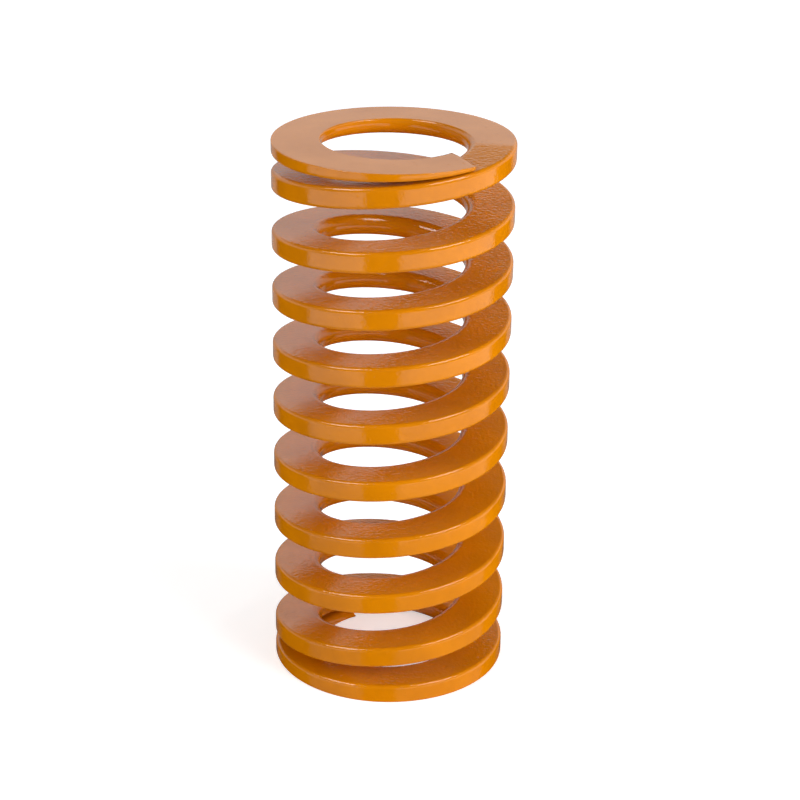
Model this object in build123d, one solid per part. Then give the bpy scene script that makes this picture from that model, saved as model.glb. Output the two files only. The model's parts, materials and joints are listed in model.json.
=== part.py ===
"""Die spring: one length of flat wire coiled into a right-hand helix, with both ends closed and ground.

It stands on its lower ground end. The origin is the centre of that end, and +Z runs up the coil's axis.
"""
import os
from math import ceil, cos, radians, sin

from build123d import *

# Driving sizes, in millimetres.
outside_diameter = 30.0
inside_diameter = 19.5
free_length = 70.0
wire_thickness = 2.65    # measured along the coil's axis
outer_bevel = 0.35       # along the wire's two outer corners, for the round that rolling leaves there

# The coiling.
total_turns = 10.5
lower_tip_angle = 130.0  # degrees from +X round to the cut end of the lowest coil
middle_rise = 0.6        # how far the middle stands above even spacing, as the lower pitch is wider
arc_angle = 45.0         # the wire is made in arcs, each short enough for its walls to stay near level

# Each end's coiling: turns from the wire's tip, and how far the wire's far side then stands from
# the ground plane, in wire thicknesses. Below 1 the wire is ground thin. After one turn it has to
# clear the tip, so it lifts quickly there and then settles to the open pitch.
lower_end = [(0, 0.27), (0.1, 0.5), (0.3, 0.8), (0.6, 0.96), (0.85, 1.08),
             (1, 1.5), (1.3, 2.65), (1.6, 3.5), (2.1, 4.95)]
upper_end = [(0, 0.22), (0.1, 0.38), (0.3, 0.62), (0.6, 0.78), (0.85, 0.93),
             (1, 1.27), (1.3, 2.2), (1.6, 3.2), (2.1, 4.55)]

# Sizes that follow.
wire_width = (outside_diameter - inside_diameter) / 2
mean_radius = (outside_diameter + inside_diameter) / 4
wall_allowance = outer_bevel  # the wire is swept this much too wide each side, then turned true


def coiling_stations():
    """Turns from the lower tip and the height of the wire's centre, from end to end."""
    lower = [(turn, (height - 0.5) * wire_thickness) for turn, height in lower_end]
    upper = [(total_turns - turn, free_length - (height - 0.5) * wire_thickness)
             for turn, height in reversed(upper_end)]
    even_height = (lower[-1][1] + upper[0][1]) / 2
    return lower + [(total_turns / 2, even_height + middle_rise)] + upper


def station_slopes(stations):
    """Rise per turn at each station, weighed from the runs on both sides of it."""
    runs = [(x1 - x0, (y1 - y0) / (x1 - x0)) for (x0, y0), (x1, y1) in zip(stations, stations[1:])]
    inner = [(rise_before * run_after + rise_after * run_before) / (run_before + run_after)
             for (run_before, rise_before), (run_after, rise_after) in zip(runs, runs[1:])]
    return [runs[0][1]] + inner + [runs[-1][1]]


stations = coiling_stations()
slopes = station_slopes(stations)


def wire_height(turn):
    """Height of the wire's centre, on a smooth curve through the stations."""
    index = sum(turn > start for start, _ in stations[1:-1])
    (x0, y0), (x1, y1) = stations[index:index + 2]
    run, share = x1 - x0, (turn - x0) / (x1 - x0)
    return (y0 + (y1 - y0) * share ** 2 * (3 - 2 * share)
            + run * slopes[index] * share * (1 - share) ** 2
            - run * slopes[index + 1] * share ** 2 * (1 - share))


def wire_section():
    """The flat wire's section in the plane through the axis, with its allowance for turning."""
    blank = Rectangle(wire_width + 2 * wall_allowance, wire_thickness)
    outer_corners = blank.vertices().sort_by(Axis.X)[-2:]
    return Plane.XZ * Pos(mean_radius, 0) * chamfer(outer_corners, outer_bevel + wall_allowance)


def spring_envelope():
    """The tube that the coil fills: its two walls and the two ground planes."""
    lift = Align.MIN
    outside = Cylinder(outside_diameter / 2, free_length, align=(Align.CENTER, Align.CENTER, lift))
    inside = Cylinder(inside_diameter / 2, free_length, align=(Align.CENTER, Align.CENTER, lift))
    return outside - inside


def radial_cut(arc, turn):
    """The flat face where an arc of wire meets the plane through the axis at this turn."""
    angle = radians(lower_tip_angle + 360 * turn)
    across = Vector(-sin(angle), cos(angle), 0)
    upright = [face for face in arc.faces().filter_by(GeomType.PLANE) if abs(face.normal_at().Z) < 0.5]
    return min(upright, key=lambda face: abs(face.center().dot(across)))


def wire_arc(section, envelope, start, end):
    """One arc of wire, swept up its own stretch of helix and trimmed to the spring's envelope."""
    rise = wire_height(end) - wire_height(start)
    helix = Helix(pitch=rise / (end - start), height=rise, radius=mean_radius)
    arc = sweep(section, path=helix, is_frenet=True)
    turned = Location((0, 0, wire_height(start)), (0, 0, lower_tip_angle + 360 * start)) * arc
    return (turned & envelope).solid()


def light_patch(face):
    """The wire's wide flats laid again between their own edges, as patches that facet lightly."""
    is_flat = face.geom_type == GeomType.BSPLINE and abs(face.normal_at().Z) > 0.9
    return Face.make_surface(face.outer_wire().edges()) if is_flat else face


def spring():
    """The whole coil: the arcs' outer skins, joined end to end into one solid."""
    section, envelope = wire_section(), spring_envelope()
    arc_count = ceil(total_turns * 360 / arc_angle)
    turns = [total_turns * i / arc_count for i in range(arc_count + 1)]
    skin = []
    for start, end in zip(turns, turns[1:]):
        arc = wire_arc(section, envelope, start, end)
        joints = [radial_cut(arc, turn) for turn in (start, end) if 0 < turn < total_turns]
        skin += [light_patch(face) for face in arc.faces()
                 if not any(face.is_same(joint) for joint in joints)]
    return Solid(Shell(skin))


os.makedirs("parts", exist_ok=True)
spring_coil = spring()
spring_coil.label = "spring_coil"
export_step(spring_coil, "parts/spring_coil.step")
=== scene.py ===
"""Die spring in orange enamel: one flat wire coiled right-handed, both ends closed and ground.

Lengths are in metres. The spring stands on its lower ground end, with the coil's axis along Z.
"""
import json
from math import cos, pi, radians, sin

import bpy
import numpy as np
from bpy.props import FloatProperty, FloatVectorProperty, IntProperty, PointerProperty
from mathutils import Matrix, Vector


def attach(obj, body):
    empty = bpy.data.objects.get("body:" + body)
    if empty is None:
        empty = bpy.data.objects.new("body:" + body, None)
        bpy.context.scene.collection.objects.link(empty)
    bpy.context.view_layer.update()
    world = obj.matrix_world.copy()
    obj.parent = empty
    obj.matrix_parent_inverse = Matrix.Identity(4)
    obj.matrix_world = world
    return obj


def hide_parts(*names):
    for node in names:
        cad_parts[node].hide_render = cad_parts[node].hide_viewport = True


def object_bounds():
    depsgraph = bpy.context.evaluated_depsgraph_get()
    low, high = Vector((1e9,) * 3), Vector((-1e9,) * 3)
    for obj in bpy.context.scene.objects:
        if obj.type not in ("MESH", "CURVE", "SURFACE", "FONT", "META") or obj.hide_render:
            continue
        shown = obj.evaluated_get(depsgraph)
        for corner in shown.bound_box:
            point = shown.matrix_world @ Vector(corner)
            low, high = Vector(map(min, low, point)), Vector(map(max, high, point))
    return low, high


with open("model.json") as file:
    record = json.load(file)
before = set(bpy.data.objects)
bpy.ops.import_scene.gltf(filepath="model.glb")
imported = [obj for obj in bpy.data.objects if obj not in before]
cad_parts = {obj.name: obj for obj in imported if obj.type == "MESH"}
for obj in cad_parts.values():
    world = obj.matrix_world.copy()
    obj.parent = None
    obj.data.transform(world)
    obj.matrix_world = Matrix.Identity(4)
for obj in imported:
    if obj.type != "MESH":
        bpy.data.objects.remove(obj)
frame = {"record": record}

bl_info = {
    "name": "Die spring",
    "version": (1, 0, 0),
    "blender": (4, 5, 0),
    "location": "3D View > Sidebar > Spring",
    "description": "Coils, paints and lights a die spring wound from flat wire",
    "category": "Object",
}

MILLIMETRE = 0.001
CAD_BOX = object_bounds()
MOUNTS = {mount["name"]: mount for mount in frame["record"]["mounts"]}

# Each end's coiling: turns from the wire's tip, and how far the wire's far side then stands from
# the ground plane, in wire thicknesses. Below 1 the wire is ground thin. After one turn it has to
# clear the tip, so it lifts quickly there and then settles to the open pitch.
LOWER_END = [(0, 0.27), (0.1, 0.5), (0.3, 0.8), (0.6, 0.96), (0.85, 1.08),
             (1, 1.5), (1.3, 2.65), (1.6, 3.5), (2.1, 4.95)]
UPPER_END = [(0, 0.22), (0.1, 0.38), (0.3, 0.62), (0.6, 0.78), (0.85, 0.93),
             (1, 1.27), (1.3, 2.2), (1.6, 3.2), (2.1, 4.55)]

TIP_ROUND = [0, pi / 4]  # rings that round a cut tip, as angles round its edge
FLATS_WEIGHT = 100       # lets the wire's wide faces wholly set the shading of their own edges
WHITE = (1, 1, 1, 1)


# ---------------------------------------------------------------- sizes and colours

def linear(hex_colour):
    """The linear RGBA of an sRGB hex colour."""
    channels = [int(hex_colour[i:i + 2], 16) / 255 for i in (0, 2, 4)]
    return [c / 12.92 if c <= 0.04045 else ((c + 0.055) / 1.055) ** 2.4 for c in channels] + [1]


def length(name, description, default):
    """A length that a user would change."""
    return FloatProperty(name=name, description=description, default=default, min=0,
                         precision=5, unit="LENGTH", subtype="DISTANCE")


def colour(name, description, hex_colour):
    """A colour that a user would change."""
    return FloatVectorProperty(name=name, description=description, default=linear(hex_colour),
                               size=4, min=0, max=1, subtype="COLOR")


class SpringSizes(bpy.types.PropertyGroup):
    """Sizes of the coiled wire."""
    outside_diameter: length("Outside diameter", "Across the coil's outer wall",
                             CAD_BOX[1].x - CAD_BOX[0].x)
    inside_diameter: length("Inside diameter", "Across the coil's inner wall",
                            2 * MOUNTS["rod_bore"]["dims"]["r_mm"] * MILLIMETRE)
    free_length: length("Free length", "From ground end to ground end, unloaded",
                        CAD_BOX[1].z - CAD_BOX[0].z)
    wire_thickness: length("Wire thickness", "Measured along the coil's axis", 2.65 * MILLIMETRE)
    corner_radius: length("Corner radius", "Round that rolling leaves on the wire's corners",
                          0.48 * MILLIMETRE)
    crown_depth: length("Crown depth", "How far the wire's rounded inner side stands into the bore",
                        0.75 * MILLIMETRE)
    crown_radius: length("Crown radius", "Round of the wire's corners on its inner side",
                         1.2 * MILLIMETRE)
    ground_edge: length("Ground edge", "Round of a ground edge under its paint", 0.1 * MILLIMETRE)
    tip_edge: length("Tip edge", "Round of the cut tip's edge under its paint", 0.12 * MILLIMETRE)
    middle_rise: length("Middle rise", "How far the middle stands above even spacing",
                        0.6 * MILLIMETRE)
    total_turns: FloatProperty(name="Turns", description="All turns, closed ones included",
                               default=10.5, min=3)
    lower_tip_angle: FloatProperty(name="Lower tip", default=radians(130), unit="ROTATION",
                                   description="From +X round to the lower cut tip", subtype="ANGLE")
    tip_lean: FloatProperty(name="Tip lean", description="How far a cut tip's inner corner leads",
                            default=radians(10.5), unit="ROTATION", subtype="ANGLE")
    tip_run: FloatProperty(name="Tip run", description="Turns over which the tip's lean builds up",
                           default=0.12, min=0.01)
    steps_per_turn: IntProperty(name="Steps per turn", description="Rings of mesh in one turn",
                                default=120, min=24)
    corner_steps: IntProperty(name="Corner steps", description="Facets across a rolled corner",
                              default=5, min=2)
    crown_steps: IntProperty(name="Crown steps", description="Facets across an inner corner",
                             default=9, min=2)


class EnamelFinish(bpy.types.PropertyGroup):
    """Colours and grain of the sprayed enamel."""
    body_colour: colour("Body colour", "The enamel where it is full", "DB8303")
    deep_colour: colour("Deep colour", "The enamel where it has run thick", "CF7A02")
    orange_peel: length("Orange peel", "Spacing of the enamel's ripples", 0.45 * MILLIMETRE)
    peel_depth: length("Peel depth", "Height of the enamel's ripples", 0.055 * MILLIMETRE)
    cloud_size: length("Cloud size", "Spacing of the patches where the coat varies", 6 * MILLIMETRE)
    dust_spacing: length("Dust spacing", "Spacing of specks caught in the enamel", 1.1 * MILLIMETRE)
    grinding_pitch: length("Grinding pitch", "Spacing of the grinding lines under the enamel",
                           0.25 * MILLIMETRE)


class StudioLight(bpy.types.PropertyGroup):
    """Light and tones of the studio."""
    floor_colour: colour("Floor", "The pale floor", "F4F4F4")
    fill_strength: FloatProperty(name="Fill", description="Even light from all round", default=0.42,
                                 min=0)
    key_strength: FloatProperty(name="Key", description="Power of the soft box at the front right",
                                default=7, min=0, subtype="POWER")
    left_strength: FloatProperty(name="Left", description="Power of the soft box at the left",
                                 default=2.3, min=0, subtype="POWER")
    glint_strength: FloatProperty(name="Glint", description="Power of the boxes that edges mirror",
                                  default=3.2, min=0, subtype="POWER")


# ---------------------------------------------------------------- small helpers

def add_node(tree, kind, inputs=None, **settings):
    """Adds a node, gives it its settings, and sets or links its inputs."""
    node = tree.nodes.new(kind)
    for name, value in settings.items():
        setattr(node, name, value)
    for name, value in (inputs or {}).items():
        if isinstance(value, bpy.types.NodeSocket):
            tree.links.new(value, node.inputs[name])
        else:
            node.inputs[name].default_value = value
    return node


def calculate(tree, operation, *values):
    """The result of a math node on these values."""
    return add_node(tree, "ShaderNodeMath", dict(enumerate(values)), operation=operation).outputs[0]


def remap(tree, value, start, end, to_start=0, to_end=1):
    """The value carried from one range to another, and held at its ends."""
    ranges = {"From Min": start, "From Max": end, "To Min": to_start, "To Max": to_end}
    return add_node(tree, "ShaderNodeMapRange", {"Value": value, **ranges}).outputs["Result"]


def noise(tree, place, spacing, detail, roughness=0.5):
    """Noise of this spacing."""
    return add_node(tree, "ShaderNodeTexNoise", {"Vector": place, "Scale": 1 / spacing,
                                                 "Detail": detail,
                                                 "Roughness": roughness}).outputs["Fac"]


def axis_share(tree, place, axis):
    """One axis of a place or a direction."""
    return add_node(tree, "ShaderNodeSeparateXYZ", {"Vector": place}).outputs[axis]


def glow(tree, strength):
    """White light given off at this strength."""
    return add_node(tree, "ShaderNodeEmission", {"Color": WHITE, "Strength": strength}).outputs[0]


def new_material(name):
    """An empty node material and its tree."""
    material = bpy.data.materials.new(name)
    material.use_nodes = True
    material.node_tree.nodes.clear()
    return material, material.node_tree


def deselect_all():
    """Leaves edit mode and selects nothing."""
    if bpy.context.object and bpy.context.object.mode != "OBJECT":
        bpy.ops.object.mode_set(mode="OBJECT")
    bpy.ops.object.select_all(action="DESELECT")


def apply_place():
    """Moves the active object's place, turn and scale into its mesh."""
    bpy.ops.object.transform_apply(location=True, rotation=True, scale=True)


# ---------------------------------------------------------------- the coil

def coiling_stations(sizes):
    """Turns from the lower tip and the height of the wire's centre, from end to end."""
    thickness = sizes.wire_thickness
    lower = [(turn, (height - 0.5) * thickness) for turn, height in LOWER_END]
    upper = [(sizes.total_turns - turn, sizes.free_length - (height - 0.5) * thickness)
             for turn, height in reversed(UPPER_END)]
    even_height = (lower[-1][1] + upper[0][1]) / 2
    return lower + [(sizes.total_turns / 2, even_height + sizes.middle_rise)] + upper


def station_slopes(stations):
    """Rise per turn at each station, weighed from the runs on both sides of it."""
    runs = [(x1 - x0, (y1 - y0) / (x1 - x0)) for (x0, y0), (x1, y1) in zip(stations, stations[1:])]
    inner = [(rise_before * run_after + rise_after * run_before) / (run_before + run_after)
             for (run_before, rise_before), (run_after, rise_after) in zip(runs, runs[1:])]
    return [runs[0][1]] + inner + [runs[-1][1]]


def wire_height(turn, stations, slopes):
    """Height of the wire's centre, on a smooth curve through the stations."""
    index = sum(turn > start for start, _ in stations[1:-1])
    (x0, y0), (x1, y1) = stations[index:index + 2]
    run, share = x1 - x0, (turn - x0) / (x1 - x0)
    return (y0 + (y1 - y0) * share ** 2 * (3 - 2 * share)
            + run * slopes[index] * share * (1 - share) ** 2
            - run * slopes[index + 1] * share ** 2 * (1 - share))


def wire_reach(sizes):
    """Radii of the wire's outer wall and of the crown of its rounded inner side."""
    return sizes.outside_diameter / 2, sizes.inside_diameter / 2 - sizes.crown_depth


def round_corners(outline, are_chosen, radius, steps):
    """Rounds those corners of the outline whose place is chosen."""
    bpy.ops.mesh.select_all(action="DESELECT")
    bpy.ops.object.mode_set(mode="OBJECT")
    for vertex in outline.data.vertices:
        vertex.select = are_chosen(vertex.co)
    bpy.ops.object.mode_set(mode="EDIT")
    bpy.ops.mesh.bevel(affect="VERTICES", offset=radius, offset_type="OFFSET", segments=steps)


def wire_outline(sizes):
    """The flat wire's outline, upright at the mean radius: small rolled corners on its outer side,
    and an inner side that is nearly half round."""
    outer, inner = wire_reach(sizes)
    mean_radius = (outer + inner) / 2
    deselect_all()
    bpy.ops.mesh.primitive_plane_add(size=1, location=(mean_radius, 0, 0), rotation=(pi / 2, 0, 0))
    outline = bpy.context.object
    outline.scale = (outer - inner, sizes.wire_thickness, 1)
    apply_place()
    bpy.ops.object.mode_set(mode="EDIT")
    bpy.ops.mesh.select_mode(type="VERT")
    round_corners(outline, lambda co: co.x < mean_radius, sizes.crown_radius, sizes.crown_steps)
    round_corners(outline, lambda co: co.x > mean_radius, sizes.corner_radius, sizes.corner_steps)
    bpy.ops.mesh.select_all(action="SELECT")
    bpy.ops.mesh.delete(type="ONLY_FACE")
    bpy.ops.object.mode_set(mode="OBJECT")
    return outline


def coil_up(wire, sizes):
    """Winds the outline into an evenly pitched coil of rings."""
    screw = wire.modifiers.new("coil", "SCREW")
    screw.axis = "Z"
    screw.angle = 2 * pi * sizes.total_turns
    screw.screw_offset = sizes.free_length
    screw.steps = screw.render_steps = round(sizes.total_turns * sizes.steps_per_turn)
    bpy.ops.object.modifier_apply(modifier=screw.name)


def ring_turns(count, sizes):
    """Each ring's turn from the lower tip, and how far the tip's rounded edge draws it in."""
    edge_turn = sizes.tip_edge / (pi * sum(wire_reach(sizes)))
    first = [edge_turn * (1 - cos(angle)) for angle in TIP_ROUND]
    draw = [sizes.tip_edge * (1 - sin(angle)) for angle in TIP_ROUND]
    middle = list(np.linspace(edge_turn, sizes.total_turns - edge_turn, count - 2 * len(first)))
    last = [sizes.total_turns - turn for turn in reversed(first)]
    return first + middle + last, draw + [0] * len(middle) + draw[::-1]


def tip_lead(turn, sizes):
    """How far round the wire's inner side leads its outer side: the cut tips aren't quite radial."""
    at_upper = turn > sizes.total_turns / 2
    from_tip = sizes.total_turns - turn if at_upper else turn
    lead = sizes.tip_lean * max(0, 1 - from_tip / sizes.tip_run)
    return lead if at_upper else -lead


def set_pitch_and_grind(wire, outline, sizes):
    """Moves each ring to its own height, and cuts it off at the two ground planes."""
    outer, inner = wire_reach(sizes)
    mean_radius = (outer + inner) / 2
    half_width = (outer - inner) / 2
    half_thickness = sizes.wire_thickness / 2
    stations = coiling_stations(sizes)
    slopes = station_slopes(stations)

    # Each point of the outline belongs to a corner, and keeps its place along that corner's round.
    points = outline - [mean_radius, 0]
    sides, levels = np.sign(points).T
    corners = np.where(sides > 0, sizes.corner_radius, sizes.crown_radius)
    reach_across = (points[:, 0] - sides * (half_width - corners)) / corners
    reach_up = (points[:, 1] - levels * (half_thickness - corners)) / corners

    turns, draws = ring_turns(len(wire.data.vertices) // len(points), sizes)
    placed = []
    for turn, draw in zip(turns, draws):
        centre = wire_height(turn, stations, slopes)
        low, high = centre - half_thickness, centre + half_thickness
        ground_low, ground_high = max(low, 0) + draw, min(high, sizes.free_length) - draw
        low_round = max(sizes.corner_radius + min(low, 0), sizes.ground_edge)
        high_round = max(sizes.corner_radius + min(sizes.free_length - high, 0), sizes.ground_edge)
        outer_rounds = np.where(levels > 0, high_round, low_round)
        rounds = np.where(sides > 0, outer_rounds, corners)
        outer_edges = np.where(levels > 0, ground_high, ground_low)
        edges = np.where(sides > 0, outer_edges, np.where(levels > 0, high, low))
        across = mean_radius + sides * (half_width - draw - rounds) + reach_across * rounds
        up = np.clip(edges - levels * rounds + reach_up * rounds, ground_low, ground_high)
        lead = tip_lead(turn, sizes) * (outer - across) / (outer - inner)
        angles = sizes.lower_tip_angle + 2 * pi * turn + lead
        placed.append(np.column_stack([across * np.cos(angles), across * np.sin(angles), up]))
    wire.data.vertices.foreach_set("co", np.concatenate(placed).ravel())
    wire.data.update()


def close_tips():
    """Caps both cut tips and turns every face outwards."""
    bpy.ops.object.mode_set(mode="EDIT")
    bpy.ops.mesh.select_all(action="SELECT")
    bpy.ops.mesh.fill_holes(sides=0)
    bpy.ops.mesh.select_all(action="SELECT")
    bpy.ops.mesh.normals_make_consistent(inside=False)
    bpy.ops.object.mode_set(mode="OBJECT")


def smooth_faces(piece):
    """Smooth shading that keeps the wire's flats flat and leaves the turn to its corners."""
    bpy.ops.object.shade_smooth()
    weighted = piece.modifiers.new("flats", "WEIGHTED_NORMAL")
    weighted.mode = "FACE_AREA"
    weighted.weight = FLATS_WEIGHT
    bpy.ops.object.modifier_apply(modifier=weighted.name)


class SPRING_OT_coil(bpy.types.Operator):
    """Coil the flat wire, close and grind its ends, and paint it"""
    bl_idname = "spring.coil"
    bl_label = "Coil"

    def execute(self, context):
        sizes = context.scene.spring_sizes
        wire = wire_outline(sizes)
        wire.name = "enamelled_coil"
        wire.data.name = "enamelled_coil"
        outline = np.array([[vertex.co.x, vertex.co.z] for vertex in wire.data.vertices])
        coil_up(wire, sizes)
        set_pitch_and_grind(wire, outline, sizes)
        close_tips()
        smooth_faces(wire)
        wire.data.materials.clear()
        wire.data.materials.append(gloss_orange_enamel(context.scene.enamel_finish, sizes))
        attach(wire, "root")
        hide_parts("spring_coil")
        return {"FINISHED"}


# ---------------------------------------------------------------- the finish

CLOUD_EDGES = (0.35, 0.7)          # noise between which the coat goes from full to run thick
SPECK_EDGES = (0.02, 0.14)         # a speck's top and foot, in spacings
SPECK_HEIGHT = 0.3                 # in ripples
GROUND_DEPTH = 0.02 * MILLIMETRE   # what lies this near a ground plane is ground
GRINDING_STRETCH = (1, 0.03, 0)    # the grinding lines run long along Y, and don't change with height
GRINDING_HEIGHT = 0.1              # in ripples
GROUND_RIPPLE = 0.15               # share of the ripple left where the coat lies on ground steel
WALL_RIPPLE = 0.45                 # share of the ripple on the wire's upright walls
WALL_TO_FLAT = (0.3, 0.9)          # upward share of the normal, from wall to flat
GLOSS_EDGES = (0.3, 0.7)           # noise between which the roughness goes from wet to dry
WET_ROUGHNESS = 0.05
DRY_ROUGHNESS = 0.09
GROUND_ROUGHNESS = 0.1             # added where the coat lies on ground steel
ENAMEL_IOR = 1.55


def gloss_orange_enamel(finish, sizes):
    """Baked spray enamel on steel: a wet gloss over a fine ripple, with a few specks of dust in it,
    and faint grinding lines showing through the coat on the two ground ends."""
    material, tree = new_material("gloss_orange_enamel")
    place = add_node(tree, "ShaderNodeTexCoord").outputs["Object"]

    # The mix node's inputs 0, 6 and 7 are its share and its two colours, and output 2 is a colour.
    clouds = noise(tree, place, finish.cloud_size, detail=3, roughness=0.55)
    body = add_node(tree, "ShaderNodeMix", {0: remap(tree, clouds, *CLOUD_EDGES),
                                            6: finish.body_colour,
                                            7: finish.deep_colour}, data_type="RGBA").outputs[2]

    peel = noise(tree, place, finish.orange_peel, detail=2, roughness=0.45)
    dust = add_node(tree, "ShaderNodeTexVoronoi", {"Vector": place,
                                                   "Scale": 1 / finish.dust_spacing,
                                                   "Randomness": 1})
    speck = remap(tree, dust.outputs["Distance"], *SPECK_EDGES, to_start=1, to_end=0)

    from_middle = calculate(tree, "SUBTRACT", axis_share(tree, place, "Z"), sizes.free_length / 2)
    ground = calculate(tree, "GREATER_THAN", calculate(tree, "ABSOLUTE", from_middle),
                       sizes.free_length / 2 - GROUND_DEPTH)
    lines_place = add_node(tree, "ShaderNodeMapping", {"Vector": place, "Scale": GRINDING_STRETCH})
    lines = noise(tree, lines_place.outputs["Vector"], finish.grinding_pitch, detail=2)
    ground_lines = calculate(tree, "MULTIPLY", lines, ground)

    normal = add_node(tree, "ShaderNodeNewGeometry").outputs["True Normal"]
    level = calculate(tree, "ABSOLUTE", axis_share(tree, normal, "Z"))
    on_flat = remap(tree, level, *WALL_TO_FLAT, WALL_RIPPLE, 1)
    unground = calculate(tree, "MULTIPLY_ADD", ground, GROUND_RIPPLE - 1, 1)
    peel_bump = add_node(tree, "ShaderNodeBump", {
        "Height": peel, "Distance": finish.peel_depth,
        "Strength": calculate(tree, "MULTIPLY", on_flat, unground)})
    speck_bump = add_node(tree, "ShaderNodeBump", {
        "Height": speck, "Distance": SPECK_HEIGHT * finish.peel_depth, "Strength": 1,
        "Normal": peel_bump.outputs["Normal"]})
    line_bump = add_node(tree, "ShaderNodeBump", {
        "Height": ground_lines, "Distance": GRINDING_HEIGHT * finish.peel_depth, "Strength": 1,
        "Normal": speck_bump.outputs["Normal"]})

    gloss = remap(tree, clouds, *GLOSS_EDGES, WET_ROUGHNESS, DRY_ROUGHNESS)
    enamel = add_node(tree, "ShaderNodeBsdfPrincipled", {
        "Base Color": body, "Metallic": 0, "IOR": ENAMEL_IOR,
        "Roughness": calculate(tree, "MULTIPLY_ADD", ground, GROUND_ROUGHNESS, gloss),
        "Normal": line_bump.outputs["Normal"]})
    add_node(tree, "ShaderNodeOutputMaterial", {"Surface": enamel.outputs["BSDF"]})
    return material


# ---------------------------------------------------------------- the studio

FLOOR_DROP = 0.02 * MILLIMETRE
FLOOR_SIZE = 6.0
FLOOR_LIFT = 0.5           # light that the floor gives off towards the camera

TENT_RADIUS = 0.2
TENT_TOP = 0.035
TENT_DEPTH = 0.4
TENT_SEGMENTS = 96
TENT_FADE = (-0.075, -0.01)  # heights between which the tent brightens
TENT_LEVELS = (0.25, 1.1)    # its brightness at those heights
# Tones round the tent that the gloss mirrors: turns round from -X by way of -Y, and brightness.
TENT_TONES = [(0.0, 0.0), (0.016, 0.0), (0.024, 1.0), (0.176, 1.0), (0.184, 0.0), (0.266, 0.0),
              (0.274, 1.0), (0.54, 1.0), (0.548, 0.0), (0.635, 0.0), (0.65, 0.35), (0.86, 0.35),
              (0.875, 0.0), (1.0, 0.0)]

# The backdrop that the gloss mirrors: sine of the height above the horizon, and brightness.
BACKDROP_TONES = [(0.0, 0.45), (0.1, 0.5), (0.24, 0.9), (0.36, 0.9), (0.44, 0.2), (0.6, 0.05),
                  (1.0, 0.05)]
BACKDROP_EDGE = (-0.35, -0.1)  # where it starts, as the direction's share along +Y
FRONT_TONE = 0.1               # how much of its brightness is left in front of that

LAMP_DISTANCE = 0.9
# Each lamp's azimuth (0 in front, 90 to the right) and elevation in degrees, its width and height.
LAMPS = {
    "key_box": (56, 20, 0.6, 0.45),
    "left_box": (-68, 28, 0.6, 0.4),
    "left_glint": (-68, 52, 0.5, 0.3),
    "right_glint": (60, 52, 0.5, 0.3),
}

CAMERA_TARGET = Vector((0, 0, 0.03627))
CAMERA_DISTANCE = 0.27521
CAMERA_ELEVATION = radians(22.655)
CAMERA_ROLL = radians(0.652)
SENSOR_WIDTH = 36
FOCAL_LENGTH = 97.14
LENS_SHIFT = (0.0111, -0.0064)
CLIP_START = 0.01


def set_stops(ramp, tones):
    """Gives a colour ramp its grey tones."""
    stops = ramp.color_ramp.elements
    while len(stops) < len(tones):
        stops.new(0.5)  # moved to its own place below
    for stop, (position, tone) in zip(stops, tones):
        stop.position = position
        stop.color = (tone, tone, tone, 1)


def pale_floor_paint(studio):
    """Matt pale floor. It looks white to the camera and still takes the object's shadow."""
    material, tree = new_material("matt_pale_floor")
    diffuse = add_node(tree, "ShaderNodeBsdfDiffuse", {"Color": studio.floor_colour})
    camera_ray = add_node(tree, "ShaderNodeLightPath").outputs["Is Camera Ray"]
    lift = glow(tree, calculate(tree, "MULTIPLY", camera_ray, FLOOR_LIFT))
    both = add_node(tree, "ShaderNodeAddShader", {0: diffuse.outputs[0], 1: lift})
    add_node(tree, "ShaderNodeOutputMaterial", {"Surface": both.outputs[0]})
    return material


def reflection_tent_tones():
    """White and black cards round the object, as soft-edged tones that only gloss sees."""
    material, tree = new_material("reflection_tent")
    place = add_node(tree, "ShaderNodeTexCoord").outputs["Object"]
    around = add_node(tree, "ShaderNodeTexGradient", {"Vector": place}, gradient_type="RADIAL")
    tones = add_node(tree, "ShaderNodeValToRGB", {"Fac": around.outputs["Fac"]})
    set_stops(tones, TENT_TONES)
    fade = remap(tree, axis_share(tree, place, "Z"), *TENT_FADE, *TENT_LEVELS)
    cards = glow(tree, calculate(tree, "MULTIPLY", tones.outputs["Color"], fade))
    add_node(tree, "ShaderNodeOutputMaterial", {"Surface": cards})
    return material


def seen_by_gloss_only(card):
    """A card that shows in reflections, and neither shades the object nor shows in the picture."""
    card.visible_camera = card.visible_diffuse = card.visible_shadow = False
    card.visible_transmission = card.visible_volume_scatter = False


def soft_box(name, power, in_gloss):
    """A lamp that looks at the middle of the spring. It either lights the paint's colour or shows
    in its gloss, so that no wide lamp glares off a flat."""
    azimuth, elevation, width, height = LAMPS[name]
    lamp = bpy.data.lights.new(name, "AREA")
    lamp.shape = "RECTANGLE"
    lamp.size, lamp.size_y = width, height
    lamp.energy = power
    box = bpy.data.objects.new(name, lamp)
    bpy.context.scene.collection.objects.link(box)
    turn, lift = radians(azimuth), radians(elevation)
    away = Vector((sin(turn) * cos(lift), -cos(turn) * cos(lift), sin(lift)))
    middle = (CAD_BOX[0] + CAD_BOX[1]) / 2
    box.matrix_world = Matrix.LocRotScale(middle + away * LAMP_DISTANCE,
                                          away.to_track_quat("Z", "Y"), None)
    box.visible_camera = False
    box.visible_glossy = in_gloss
    box.visible_diffuse = not in_gloss


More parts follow.
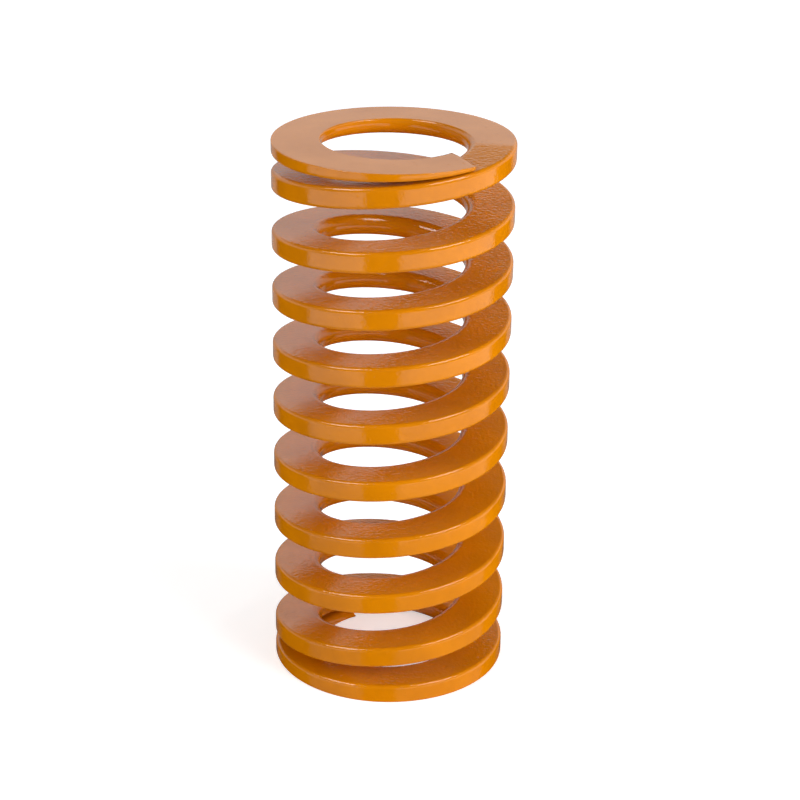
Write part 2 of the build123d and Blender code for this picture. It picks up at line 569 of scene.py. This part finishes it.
def white_surroundings(studio):
    """The world: even fill light, white for the camera, and a banded backdrop for the gloss."""
    world = bpy.data.worlds.new("studio")
    world.use_nodes = True
    tree = world.node_tree
    tree.nodes.clear()
    path = add_node(tree, "ShaderNodeLightPath")
    camera_ray, glossy_ray = path.outputs["Is Camera Ray"], path.outputs["Is Glossy Ray"]
    way = add_node(tree, "ShaderNodeTexCoord").outputs["Generated"]
    backdrop = add_node(tree, "ShaderNodeValToRGB", {"Fac": axis_share(tree, way, "Z")})
    set_stops(backdrop, BACKDROP_TONES)
    behind = remap(tree, axis_share(tree, way, "Y"), *BACKDROP_EDGE, FRONT_TONE, 1)
    mirrored = calculate(tree, "MULTIPLY", backdrop.outputs["Color"], behind)
    tone = calculate(tree, "MAXIMUM", mirrored, camera_ray)
    fill = add_node(tree, "ShaderNodeBackground", {"Color": WHITE, "Strength": studio.fill_strength})
    seen = add_node(tree, "ShaderNodeBackground", {"Color": WHITE, "Strength": tone})
    both = add_node(tree, "ShaderNodeMixShader", {
        0: calculate(tree, "MAXIMUM", camera_ray, glossy_ray),
        1: fill.outputs[0], 2: seen.outputs[0]})
    add_node(tree, "ShaderNodeOutputWorld", {"Surface": both.outputs[0]})
    bpy.context.scene.world = world


def set_camera():
    """The camera, a little above the spring and square to its front."""
    right = Vector((1, 0, 0))
    up = Vector((0, sin(CAMERA_ELEVATION), cos(CAMERA_ELEVATION)))
    back = Vector((0, -cos(CAMERA_ELEVATION), sin(CAMERA_ELEVATION)))
    rolled_right = right * cos(CAMERA_ROLL) + up * sin(CAMERA_ROLL)
    rolled_up = up * cos(CAMERA_ROLL) - right * sin(CAMERA_ROLL)
    lens = bpy.data.cameras.new("camera")
    lens.sensor_width = SENSOR_WIDTH
    lens.lens = FOCAL_LENGTH
    lens.shift_x, lens.shift_y = LENS_SHIFT
    lens.clip_start = CLIP_START
    camera = bpy.data.objects.new("camera", lens)
    bpy.context.scene.collection.objects.link(camera)
    turned = Matrix((rolled_right, rolled_up, back)).transposed().to_4x4()
    camera.matrix_world = Matrix.Translation(CAMERA_TARGET + back * CAMERA_DISTANCE) @ turned
    bpy.context.scene.camera = camera


class SPRING_OT_studio(bpy.types.Operator):
    """Set the floor, the lamps, the reflection tent and the camera"""
    bl_idname = "spring.studio"
    bl_label = "Studio"

    def execute(self, context):
        studio = context.scene.studio_light
        deselect_all()
        bpy.ops.mesh.primitive_plane_add(size=FLOOR_SIZE, location=(0, 0, -FLOOR_DROP))
        floor = context.object
        floor.name = "floor"
        floor.data.materials.append(pale_floor_paint(studio))
        floor.visible_glossy = False
        bpy.ops.mesh.primitive_cylinder_add(vertices=TENT_SEGMENTS, radius=TENT_RADIUS,
                                            depth=TENT_DEPTH, end_fill_type="NOTHING",
                                            location=(0, 0, TENT_TOP - TENT_DEPTH / 2))
        tent = context.object
        tent.name = "reflection_tent"
        apply_place()
        tent.data.materials.append(reflection_tent_tones())
        seen_by_gloss_only(tent)
        soft_box("key_box", studio.key_strength, in_gloss=False)
        soft_box("left_box", studio.left_strength, in_gloss=False)
        soft_box("left_glint", studio.glint_strength, in_gloss=True)
        soft_box("right_glint", studio.glint_strength, in_gloss=True)
        white_surroundings(studio)
        set_camera()
        context.scene.view_settings.view_transform = "Standard"
        return {"FINISHED"}


# ---------------------------------------------------------------- the add-on

class SPRING_PT_panel(bpy.types.Panel):
    """Lists the spring's steps in the sidebar"""
    bl_idname = "SPRING_PT_panel"
    bl_label = "Die spring"
    bl_space_type = "VIEW_3D"
    bl_region_type = "UI"
    bl_category = "Spring"

    def draw(self, context):
        for group in ("spring_sizes", "enamel_finish", "studio_light"):
            box = self.layout.box()
            settings = getattr(context.scene, group)
            for name in settings.__annotations__:
                box.prop(settings, name)
        for operator in (SPRING_OT_coil, SPRING_OT_studio):
            self.layout.operator(operator.bl_idname)


CLASSES = (SpringSizes, EnamelFinish, StudioLight,
           SPRING_OT_coil, SPRING_OT_studio, SPRING_PT_panel)


def register():
    """Adds the operators, the panel and the settings."""
    for cls in CLASSES:
        bpy.utils.register_class(cls)
    bpy.types.Scene.spring_sizes = PointerProperty(type=SpringSizes)
    bpy.types.Scene.enamel_finish = PointerProperty(type=EnamelFinish)
    bpy.types.Scene.studio_light = PointerProperty(type=StudioLight)


def unregister():
    """Takes them away again."""
    del bpy.types.Scene.spring_sizes
    del bpy.types.Scene.enamel_finish
    del bpy.types.Scene.studio_light
    for cls in reversed(CLASSES):
        bpy.utils.unregister_class(cls)


def main():
    """Makes the spring and its studio."""
    register()
    bpy.ops.spring.coil()
    bpy.ops.spring.studio()


if __name__ == "__main__":
    main()
